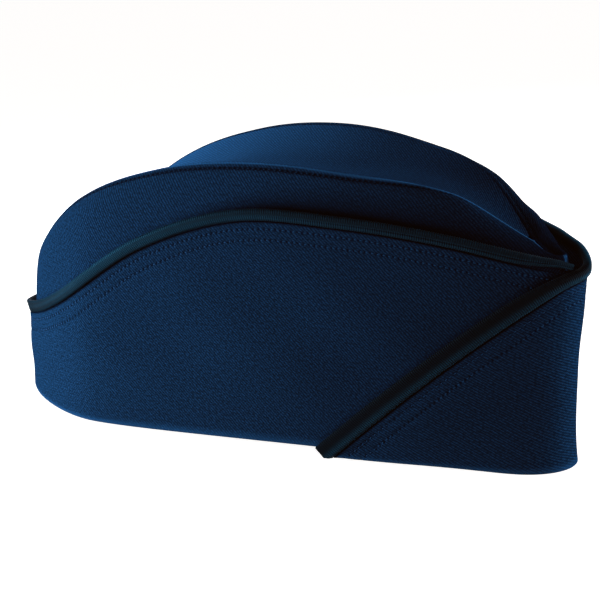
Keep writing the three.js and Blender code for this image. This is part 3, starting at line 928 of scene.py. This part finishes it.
def stitched_row(bm, line, normals, sizes):
    """Adds a row of sunk stitches along a line of points."""
    arc = arc_along(line, 0)
    spots = np.arange(0.5, arc[-1] / sizes.stitch_pitch - 0.5) * sizes.stitch_pitch
    tangents = unit(np.gradient(line, axis=0))
    rows = (read_along(values, arc, spots) for values in (line + CENTRING, tangents, normals))
    size = Matrix.Diagonal((sizes.stitch_length / 2, sizes.thread_width / 2, sizes.thread_width / 2, 1))
    for spot, tangent, normal in zip(*rows):
        x, z = Vector(tangent).normalized(), Vector(normal).normalized()
        y = z.cross(x).normalized()
        place = Matrix((x, y, x.cross(y))).transposed().to_4x4()
        place.translation = Vector(spot) - z * GROOVE["depth"]
        bmesh.ops.create_uvsphere(bm, u_segments=6, v_segments=4, radius=1, matrix=place @ size)


def curtain_row(curtain, distance, start, end):
    """Line of a stitch row on the curtain's face, and the directions out of it."""
    loop = np.linspace(start, end, ARC_STEPS)
    loop = loop[curtain.below_braid(loop, distance) - curtain.foot(loop) > ROW_CLEARANCE]
    height = curtain.below_braid(loop, distance)
    line = curtain.face(loop, height)
    up = curtain.face(loop, height + HEIGHT_STEP) - line
    return line, unit(np.cross(np.gradient(line, axis=0), up))


def make_curtain_stitches(curtain, side, start, end, sizes, material):
    bm = bmesh.new()
    for distance in (sizes.first_row, sizes.second_row):
        line, normals = curtain_row(curtain, distance, start, end)
        stitched_row(bm, line, normals, sizes)
    piece = mesh_piece(f"curtain_{side_name(side)}_stitches", bm)
    return dress(piece, material)


def make_crown_stitches(side, sizes, material):
    loop = crown_shares(side)
    curve = crown_curve(loop, side)
    # The middle line carries the stitches, and the lines beside it give its directions out
    steps = np.array([1.5, 1, 0.5]) * sizes.ridge_row
    face = crown_rows(curve, np.broadcast_to(steps, (len(loop), len(steps))))
    inside = np.abs(curve[3][:, 1]) > 2 * sizes.ridge_radius
    bm = bmesh.new()
    stitched_row(bm, face[inside, 1], grid_normals(face)[inside, 1], sizes)
    piece = mesh_piece(f"crown_side_{side_name(side)}_stitches", bm)
    return dress(piece, material)


# Finishes. Tones are factors of a piece's own colour.
TWILL_ANGLE = math.radians(-43)
FLAP_TWILL_ANGLE = math.radians(-62)
TWILL = {"wander": 0.8, "twist_turns": 1.3, "twist_slant": 0.5, "wale": 0.7, "twist": 0.3, "fuzz": 0.5}
# After the valley, the tones are for marked highlights and paler folds, painted shade in stitch holes, and
# marked painted shade
TWILL_TONES = {"dye": (0.5, 1.5), "valley": 0.22, "highlit_and_worn": 9.0, "hole": 0.08, "crease": 0.04}
FLECKS = {"dark": (0.0020, 0.0160, 0.0380, 1), "light": (0.0120, 0.0725, 0.21, 1)}
FLECK_SHARE = 0.65
FLECK_EDGE = {"From_Min": 0.36, "From_Max": 0.64}
# Stitch holes: reach, sharpness, strength of their painted shade and depth of their bump
HOLE = {"reach": 0.0006, "sharpness": 4.0, "strength": 0.9, "depth": 1.6}
TWILL_WEAR_AND_HIGHLIGHT = 0.9
TWILL_ROUGH = {"least": 0.78, "fuzz": 0.2}
# The braid's tones and marks for highlights and shade paint a highlight and shade into its colour
BRAID_TONES = {"dye": (0.75, 1.25), "valley": 0.25, "highlit_and_worn": 2.0, "crease": 0.06}
BRAID_MARKS = {"rib": 0.85, "wear": 0.4, "crease": 0.95, "thread": 0.6}
BRAID_ROUGH = {"least": 0.5, "thread": 0.25}
THREAD_TONES = (0.6, 1.5)
# The thread in the ridge groove is a darker copy: painted shade
SUNK_THREAD_SHADE = 0.25
FLOOR_GLOW = 0.93
Grain = namedtuple("Grain", "scale detail roughness", defaults=[0.5])
GRAINS = {
    "wander": Grain(160, 2),
    "fuzz": Grain(2600, 3),
    "dye": Grain(40, 7, 0.7),
    "flecks": Grain(1000, 2),
    "braid dye": Grain(120, 3),
    "braid thread": Grain(3000, 3),
    "sewing thread": Grain(5000, 2),
}
Relief = namedtuple("Relief", "strength distance")
RELIEFS = {"twill": Relief(0.6, 0.00016), "braid": Relief(0.5, 0.0001), "thread": Relief(0.4, 0.00005)}
SHEEN = {"Sheen_Weight": 0.02, "Sheen_Roughness": 0.4}
# A faint warm painted glow, an emission on the cloth and braid, keeps the darkest cloth from turning black
PAINTED_GLOW = {"Emission_Color": (1, 0.35, 0.05, 1), "Emission_Strength": 0.003}


def join(tree, value, socket):
    if isinstance(value, bpy.types.NodeSocket):
        tree.links.new(value, socket)
    else:
        socket.default_value = value


def plug(tree, node, **inputs):
    """Gives a node's inputs, by name, their values or links."""
    for key, value in inputs.items():
        join(tree, value, node.inputs[key.replace("_", " ")])


def add_node(tree, kind, settings=None, **inputs):
    node = tree.nodes.new("ShaderNode" + kind)
    for key, value in (settings or {}).items():
        setattr(node, key, value)
    plug(tree, node, **inputs)
    return node


def sums(tree, operation, *values):
    """Works out values or links with a math node."""
    node = add_node(tree, "Math", {"operation": operation})
    for value, socket in zip(values, node.inputs):
        join(tree, value, socket)
    return node.outputs[0]


def blend(tree, share, first, second):
    """Mixes two colours, which are sockets 6 and 7 of the node."""
    node = add_node(tree, "Mix", {"data_type": "RGBA"}, Factor=share)
    join(tree, first, node.inputs[6])
    join(tree, second, node.inputs[7])
    return node.outputs[2]


def noise(tree, place, name):
    scale, detail, roughness = GRAINS[name]
    node = add_node(tree, "TexNoise", Vector=place, Scale=scale, Detail=detail, Roughness=roughness)
    return node.outputs["Fac"]


def wave(tree, turns, swing="SINE"):
    """A smooth wave from 0 to 1, one for each turn."""
    swung = sums(tree, swing, sums(tree, "MULTIPLY", turns, 2 * math.pi))
    return sums(tree, "MULTIPLY_ADD", swung, 0.5, 0.5)


def mark(tree, name, strength=1.0):
    share = add_node(tree, "Attribute", {"attribute_name": name}).outputs["Fac"]
    return sums(tree, "MULTIPLY", share, strength)


def bumps(tree, height, name):
    strength, distance = RELIEFS[name]
    return add_node(tree, "Bump", Strength=strength, Distance=distance, Height=height).outputs["Normal"]


def uv_map(tree, name):
    return add_node(tree, "UVMap", {"uv_map": name}).outputs["UV"]


def new_material(name):
    material = bpy.data.materials.new(name)
    material.use_nodes = True
    return material, material.node_tree, material.node_tree.nodes["Principled BSDF"]


def rgba(colour, factor=1.0):
    return (*[channel * factor for channel in colour], 1.0)


def stitch_holes(tree):
    """Holes of the stitch rows, from the distance to a row and the count of stitches along it."""
    seam = add_node(tree, "SeparateXYZ", Vector=uv_map(tree, "seam"))
    near = sums(tree, "DIVIDE", seam.outputs["Y"], HOLE["reach"])
    row = sums(tree, "POWER", math.e, sums(tree, "MULTIPLY", -1.0, sums(tree, "MULTIPLY", near, near)))
    beat = sums(tree, "COSINE", sums(tree, "MULTIPLY", seam.outputs["X"], math.pi))
    return sums(tree, "MULTIPLY", row, sums(tree, "POWER", sums(tree, "ABSOLUTE", beat), HOLE["sharpness"]))


def twill_material(name, colour, sizes, angle):
    """Navy twill: diagonal wales of twisted yarn, uneven dye, stitch holes with painted shade, painted
    highlights and shade from the marks, paler folds, and a faint painted glow.
    """
    material, tree, shader = new_material(name)
    cloth = uv_map(tree, "cloth")
    per_wale = (1 / sizes.wale_pitch,) * 3
    turned = add_node(tree, "Mapping", Vector=cloth, Rotation=(0, 0, angle), Scale=per_wale)
    lines = add_node(tree, "SeparateXYZ", Vector=turned.outputs["Vector"])
    phase = sums(tree, "MULTIPLY_ADD", noise(tree, cloth, "wander"), TWILL["wander"], lines.outputs["X"])
    slanted = sums(tree, "MULTIPLY", phase, TWILL["twist_slant"])
    twist = wave(tree, sums(tree, "MULTIPLY_ADD", lines.outputs["Y"], TWILL["twist_turns"], slanted))
    twist = sums(tree, "MULTIPLY", twist, TWILL["twist"])
    weave = sums(tree, "MULTIPLY_ADD", wave(tree, phase), TWILL["wale"], twist)
    fuzz = noise(tree, cloth, "fuzz")
    hole = stitch_holes(tree)

    dark, light = TWILL_TONES["dye"]
    dyed = blend(tree, noise(tree, cloth, "dye"), rgba(colour, dark), rgba(colour, light))
    flecks = noise(tree, cloth, "flecks")
    sharp = add_node(tree, "MapRange", Value=flecks, **FLECK_EDGE).outputs["Result"]
    flecked = blend(tree, FLECK_SHARE, dyed, blend(tree, sharp, FLECKS["dark"], FLECKS["light"]))
    valley = sums(tree, "SUBTRACT", 1.0, weave)
    woven = blend(tree, valley, flecked, rgba(colour, TWILL_TONES["valley"]))
    highlit_and_worn = blend(tree, mark(tree, "wear", TWILL_WEAR_AND_HIGHLIGHT), woven, rgba(colour, TWILL_TONES["highlit_and_worn"]))
    # Painted shade in the stitch holes
    in_hole = sums(tree, "MULTIPLY", hole, HOLE["strength"])
    sunk = blend(tree, in_hole, highlit_and_worn, rgba(colour, TWILL_TONES["hole"]))
    shade_painted = blend(tree, mark(tree, "crease"), sunk, rgba(colour, TWILL_TONES["crease"]))

    relief = sums(tree, "MULTIPLY_ADD", fuzz, TWILL["fuzz"], weave)
    relief = sums(tree, "SUBTRACT", relief, sums(tree, "MULTIPLY", hole, HOLE["depth"]))
    rough = sums(tree, "MULTIPLY_ADD", fuzz, TWILL_ROUGH["fuzz"], TWILL_ROUGH["least"])
    plug(tree, shader, Base_Color=shade_painted, Normal=bumps(tree, relief, "twill"), Roughness=rough)
    plug(tree, shader, Specular_IOR_Level=0.0, Sheen_Tint=(0.1, 0.35, 1, 1), **SHEEN, **PAINTED_GLOW)
    return material


def braid_material(name, colour, sizes):
    """Ribbed braid: threads across it, with painted shade in its groove and where the marks say, and a
    painted highlight along its upper edge.
    """
    material, tree, shader = new_material(name)
    laid = uv_map(tree, "braid")
    along = add_node(tree, "SeparateXYZ", Vector=laid).outputs["X"]
    rib = wave(tree, sums(tree, "DIVIDE", along, sizes.rib_pitch), "COSINE")
    thread = noise(tree, laid, "braid thread")
    dark, light = BRAID_TONES["dye"]
    dyed = blend(tree, noise(tree, laid, "braid dye"), rgba(colour, dark), rgba(colour, light))
    valley = sums(tree, "MULTIPLY_ADD", rib, -BRAID_MARKS["rib"], BRAID_MARKS["rib"])
    ribbed = blend(tree, valley, dyed, rgba(colour, BRAID_TONES["valley"]))
    highlit_and_worn = blend(tree, mark(tree, "wear", BRAID_MARKS["wear"]), ribbed, rgba(colour, BRAID_TONES["highlit_and_worn"]))
    crease = mark(tree, "crease", BRAID_MARKS["crease"])
    shade_painted = blend(tree, crease, highlit_and_worn, rgba(colour, BRAID_TONES["crease"]))
    relief = sums(tree, "MULTIPLY_ADD", thread, BRAID_MARKS["thread"], rib)
    rough = sums(tree, "MULTIPLY_ADD", thread, BRAID_ROUGH["thread"], BRAID_ROUGH["least"])
    plug(tree, shader, Base_Color=shade_painted, Normal=bumps(tree, relief, "braid"), Roughness=rough)
    plug(tree, shader, Specular_IOR_Level=0.015, Sheen_Tint=(0.1, 0.5, 1, 1), **SHEEN, **PAINTED_GLOW)
    return material


def thread_material(name, colour, shade):
    """Sewing thread: a dark matt twist. A darker copy, with painted shade, serves for the thread in the
    ridge groove.
    """
    material, tree, shader = new_material(name)
    twist = noise(tree, add_node(tree, "TexCoord").outputs["Object"], "sewing thread")
    dark, light = (rgba(colour, tone * shade) for tone in THREAD_TONES)
    plug(tree, shader, Base_Color=blend(tree, twist, dark, light), Normal=bumps(tree, twist, "thread"))
    plug(tree, shader, Roughness=0.8, Specular_IOR_Level=0.05)
    return material


def floor_material(colour):
    material, tree, shader = new_material("pale_floor")
    plug(tree, shader, Base_Color=rgba(colour), Roughness=0.9, Specular_IOR_Level=0.1)
    plug(tree, shader, Emission_Color=(1, 1, 1, 1), Emission_Strength=FLOOR_GLOW)
    return material


def navy_twill(context, flap=False):
    name, angle = ("navy_twill_flap", FLAP_TWILL_ANGLE) if flap else ("navy_twill", TWILL_ANGLE)
    scene = context.scene
    found = bpy.data.materials.get(name)
    return found or twill_material(name, scene.side_cap_colours.cloth, scene.side_cap_sizes, angle)


def dark_thread(context, sunk=False):
    name, shade = ("sunk_thread", SUNK_THREAD_SHADE) if sunk else ("navy_thread", 1.0)
    found = bpy.data.materials.get(name)
    return found or thread_material(name, context.scene.side_cap_colours.thread, shade)


class SIDE_CAP_OT_crown_sides(Operator):
    """Make the two side panels of the crown, rolled over along the ridge seams"""

    bl_idname = "side_cap.crown_sides"
    bl_label = "Crown sides"

    def execute(self, context):
        sizes = context.scene.side_cap_sizes
        for side in (-1, 1):
            panel = make_crown_side(side, sizes, navy_twill(context))
            stitches = make_crown_stitches(side, sizes, dark_thread(context, sunk=True))
        return {"FINISHED"}


class SIDE_CAP_OT_crown_top(Operator):
    """Make the leaf shaped top panel, sunk between the ridge seams"""

    bl_idname = "side_cap.crown_top"
    bl_label = "Crown top"

    def execute(self, context):
        top = make_crown_top(context.scene.side_cap_sizes, navy_twill(context))
        return {"FINISHED"}


class SIDE_CAP_OT_curtains(Operator):
    """Make the two halves of the turned up curtain with their stitch rows"""

    bl_idname = "side_cap.curtains"
    bl_label = "Curtains"

    def execute(self, context):
        sizes = context.scene.side_cap_sizes
        right = make_curtain(right_curtain, -1, 0, RIGHT_END, sizes, navy_twill(context))
        start = flap_start()
        left = make_curtain(left_curtain, 1, start, 2, sizes, navy_twill(context, flap=True))
        thread = dark_thread(context)
        right_rows = make_curtain_stitches(right_curtain, -1, 0, RIGHT_END, sizes, thread)
        left_rows = make_curtain_stitches(left_curtain, 1, start, 2, sizes, thread)
        return {"FINISHED"}


class SIDE_CAP_OT_braids(Operator):
    """Make the ribbed braid along the edges of the curtain"""

    bl_idname = "side_cap.braids"
    bl_label = "Braids"

    def execute(self, context):
        sizes = context.scene.side_cap_sizes
        material = braid_material("edge_braid", context.scene.side_cap_colours.braid, sizes)
        tip = 1 - (FLAP_LENGTH - FLAP_TIP_TRIM) / foot_plan.length
        make_braid(right_curtain, -1, 0, RIGHT_BRAID_END, sizes, material)
        make_braid(left_curtain, 1, tip, 2, sizes, material)
        return {"FINISHED"}


# Camera and lamps, placed round the cap
CAMERA_PLACE = (0.37958, -0.70925, 0.30123)
CAMERA_TARGET = (0.00157, 0.00169, 0.0489)
FLOOR_SIZE = 6.0
FAR_DIRECTION = (0.30, 0.95, 0.04)
LAMP_TARGET = (0, 0, 0.05)
Lamp = namedtuple("Lamp", "place size")
LAMPS = {
    "back": Lamp((-0.45, -0.2, 0.06), 0.2),
    "side": Lamp((-0.3, -0.4, 0.05), 0.2),
    "top": Lamp((-0.3, 0.25, 0.3), 0.3),
    "nose": Lamp((0.3, 0.1, 0.06), 0.2),
    "crest": Lamp((0.45, -0.05, 0.35), 0.15),
}
LIGHT_SPREAD = math.radians(36)
ROOM_COLOUR = (1, 0.7, 0.5, 1)


def aimed(thing, place, target):
    thing.location = place
    thing.rotation_euler = (Vector(target) - Vector(place)).to_track_quat("-Z", "Y").to_euler()
    bpy.context.scene.collection.objects.link(thing)


def soft_light(name, direction, strength):
    """A large, even light that reaches the cap from a direction."""
    light = bpy.data.lights.new(name, "SUN")
    light.energy = strength
    light.angle = LIGHT_SPREAD
    aimed(bpy.data.objects.new(name, light), direction, (0, 0, 0))


def soft_lamp(name, lamp, power):
    """A round lamp near the cap, which the camera doesn't see."""
    light = bpy.data.lights.new(name, "AREA")
    light.shape = "DISK"
    light.size = lamp.size
    light.energy = power
    holder = bpy.data.objects.new(name, light)
    holder.visible_camera = False
    aimed(holder, lamp.place, LAMP_TARGET)


class SIDE_CAP_OT_stage(Operator):
    """Make the pale floor, the soft lights and the camera"""

    bl_idname = "side_cap.stage"
    bl_label = "Stage"

    def execute(self, context):
        scene = context.scene
        settings = scene.side_cap_stage
        bm = bmesh.new()
        bmesh.ops.create_grid(bm, x_segments=1, y_segments=1, size=FLOOR_SIZE)
        floor = mesh_piece("floor", bm)
        floor.data.materials.append(floor_material(scene.side_cap_colours.floor))
        floor.visible_diffuse = False
        soft_light("far_light", FAR_DIRECTION, settings.far_strength)
        for name, lamp in LAMPS.items():
            soft_lamp(f"{name}_lamp", lamp, getattr(settings, f"{name}_power"))
        world = bpy.data.worlds.new("pale_room")
        world.use_nodes = True
        background = world.node_tree.nodes["Background"]
        plug(world.node_tree, background, Color=ROOM_COLOUR, Strength=settings.room_strength)
        scene.world = world
        camera = bpy.data.cameras.new("camera")
        camera.lens = settings.focal_length
        holder = bpy.data.objects.new("camera", camera)
        aimed(holder, CAMERA_PLACE, CAMERA_TARGET)
        scene.camera = holder
        scene.view_settings.view_transform = "Standard"
        return {"FINISHED"}


class SIDE_CAP_PT_panel(Panel):
    """Lists the pieces of the side cap and their sizes"""

    bl_label = "Side Cap"
    bl_space_type = "VIEW_3D"
    bl_region_type = "UI"
    bl_category = "Side Cap"

    def draw(self, context):
        layout = self.layout
        for operator in OPERATORS:
            layout.operator(operator.bl_idname)
        for name in GROUPS:
            group = getattr(context.scene, name)
            box = layout.box()
            for key in group.bl_rna.properties.keys():
                if key not in {"rna_type", "name"}:
                    box.prop(group, key)


GROUPS = {
    "side_cap_sizes": CapSizes,
    "side_cap_colours": CapColours,
    "side_cap_stage": StageSettings,
}
OPERATORS = (
    SIDE_CAP_OT_crown_sides,
    SIDE_CAP_OT_crown_top,
    SIDE_CAP_OT_curtains,
    SIDE_CAP_OT_braids,
    SIDE_CAP_OT_stage,
)


def register():
    for made in (*GROUPS.values(), *OPERATORS, SIDE_CAP_PT_panel):
        bpy.utils.register_class(made)
    for name, group in GROUPS.items():
        setattr(bpy.types.Scene, name, PointerProperty(type=group))


def unregister():
    for name in GROUPS:
        delattr(bpy.types.Scene, name)
    for made in reversed((*GROUPS.values(), *OPERATORS, SIDE_CAP_PT_panel)):
        bpy.utils.unregister_class(made)


def main():
    register()
    bpy.ops.side_cap.crown_sides()
    bpy.ops.side_cap.crown_top()
    bpy.ops.side_cap.curtains()
    bpy.ops.side_cap.braids()
    bpy.ops.side_cap.stage()


if __name__ == "__main__":
    main()
